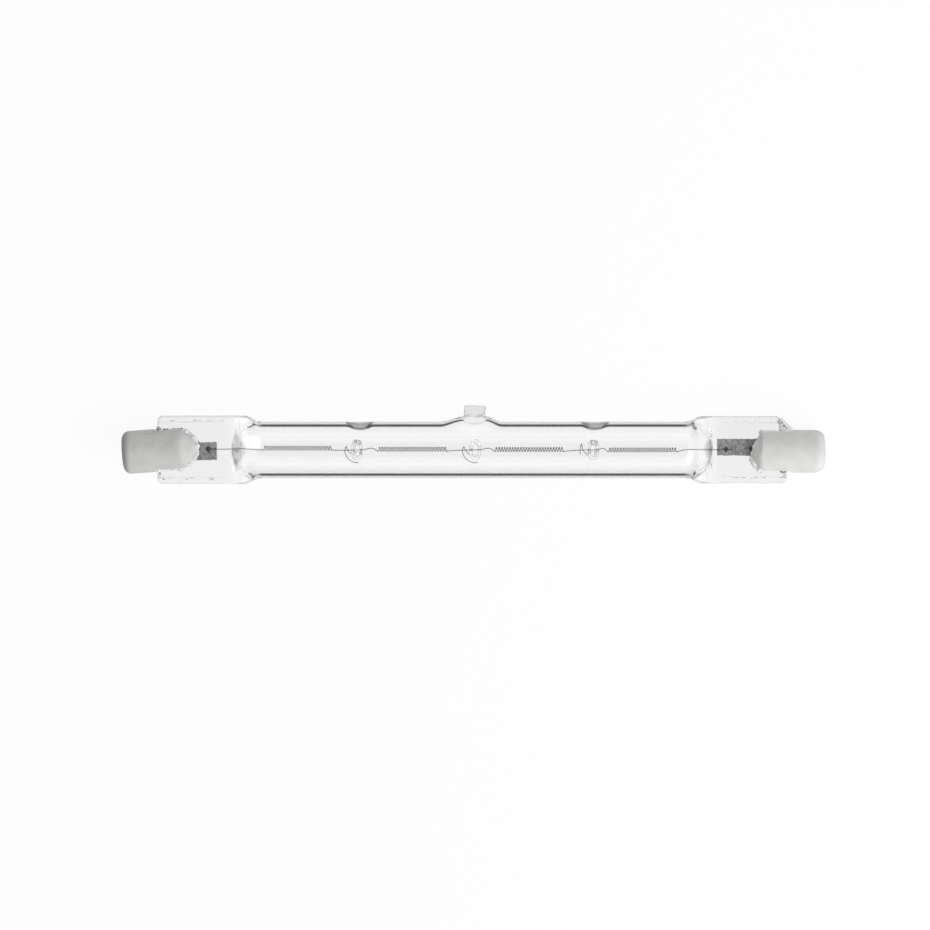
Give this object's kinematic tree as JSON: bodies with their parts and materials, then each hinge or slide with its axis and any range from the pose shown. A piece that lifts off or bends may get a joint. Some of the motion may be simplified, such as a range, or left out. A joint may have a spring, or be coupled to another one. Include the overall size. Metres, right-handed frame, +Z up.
{
  "type": "linear halogen bulb",
  "caption": "Slim double-ended halogen lamp: clear quartz tube with coiled filament, flat pinch seals, exhaust pip and ceramic end caps with recessed contacts.",
  "frame": {"origin": "on the lamp's long axis, midway between the two recessed contact faces", "axes": "+X along the lamp towards its right contact, +Z up; the lamp lies on its tube and on the rim of its exhaust pip, which points to +Y and a little down"},
  "size_m": [0.1178, 0.013, 0.0094],
  "materials": {
    "quartz": "clear, fire polished",
    "tungsten": "drawn wire, dull grey",
    "molybdenum": "thin crinkled foil and wire, satin grey",
    "ceramic": "unglazed, matt, with dark specks",
    "cement": "rough, dry",
    "contact_metal": "nickel plated, satin"
  },
  "bodies": {
    "root": {"quartz_envelope": "quartz", "filament": "tungsten", "left_support_wire": "tungsten", "middle_support_wire": "tungsten", "right_support_wire": "tungsten", "left_foil": "molybdenum", "right_foil": "molybdenum", "left_lead": "molybdenum", "right_lead": "molybdenum", "left_cap": "ceramic", "right_cap": "ceramic", "left_contact": "contact_metal", "right_contact": "contact_metal", "left_cement": "cement", "right_cement": "cement"}
  },
  "joints": []
}
